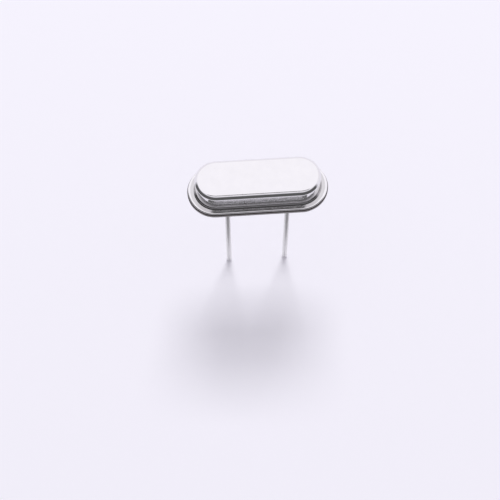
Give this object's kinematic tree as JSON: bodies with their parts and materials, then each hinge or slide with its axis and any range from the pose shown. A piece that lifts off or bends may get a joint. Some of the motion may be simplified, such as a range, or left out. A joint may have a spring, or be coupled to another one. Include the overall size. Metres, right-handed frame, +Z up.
{
  "type": "crystal oscillator",
  "caption": "Low-profile quartz crystal in a welded metal can with round ends, a flange at its foot and a pair of straight through-hole leads.",
  "frame": {"origin": "centre of the header's flat underside, midway between the two leads, on the plane that meets the board", "axes": "+Z up through the can, X along the row of leads and the can's length, Y across the can; the leads run down -Z"},
  "size_m": [0.011, 0.0044, 0.015],
  "materials": {
    "nickel_can": "gloss",
    "nickel_header": "satin",
    "seal_glass": "gloss",
    "tinned_wire": "gloss",
    "clip_sheet": "satin",
    "quartz": "gloss",
    "silver_film": "gloss",
    "conductive_adhesive": "matte"
  },
  "bodies": {
    "root": {"can": "nickel_can", "header": "nickel_header", "left_glass_bead": "seal_glass", "right_glass_bead": "seal_glass", "left_lead": "tinned_wire", "right_lead": "tinned_wire", "left_clip": "clip_sheet", "right_clip": "clip_sheet", "quartz_blank": "quartz", "front_electrode": "silver_film", "back_electrode": "silver_film", "left_front_adhesive": "conductive_adhesive", "left_back_adhesive": "conductive_adhesive", "right_front_adhesive": "conductive_adhesive", "right_back_adhesive": "conductive_adhesive"}
  },
  "joints": []
}
